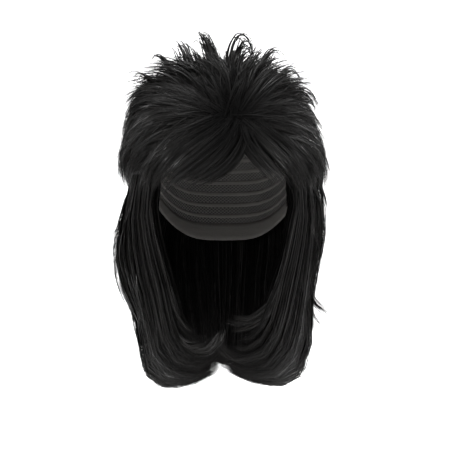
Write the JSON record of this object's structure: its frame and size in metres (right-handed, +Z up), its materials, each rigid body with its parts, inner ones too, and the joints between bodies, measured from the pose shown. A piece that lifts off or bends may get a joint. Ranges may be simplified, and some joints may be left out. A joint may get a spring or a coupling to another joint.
{
  "type": "mullet wig",
  "caption": "Short-layered black mullet wig with standing tufts on top, a swept parted fringe, long side hair curled in to the throat and a long back, on a hollow net cap.",
  "frame": {"origin": "where the top of a head bears on the inside of the cap", "axes": "+Z up, -Y the way the face looks, +X to the viewer's right when facing the wig"},
  "size_m": [0.2146, 0.239, 0.3663],
  "materials": {
    "hair": "straight synthetic fibre with a soft satin sheen",
    "cap_net": "matt elastic net with rows of sewn weft"
  },
  "bodies": {
    "root": {"cap": "cap_net", "top_tufts": "hair", "crown_layers": "hair", "fringe_left": "hair", "fringe_right": "hair", "side_hair_left": "hair", "side_hair_right": "hair", "back_hair": "hair"}
  },
  "joints": []
}
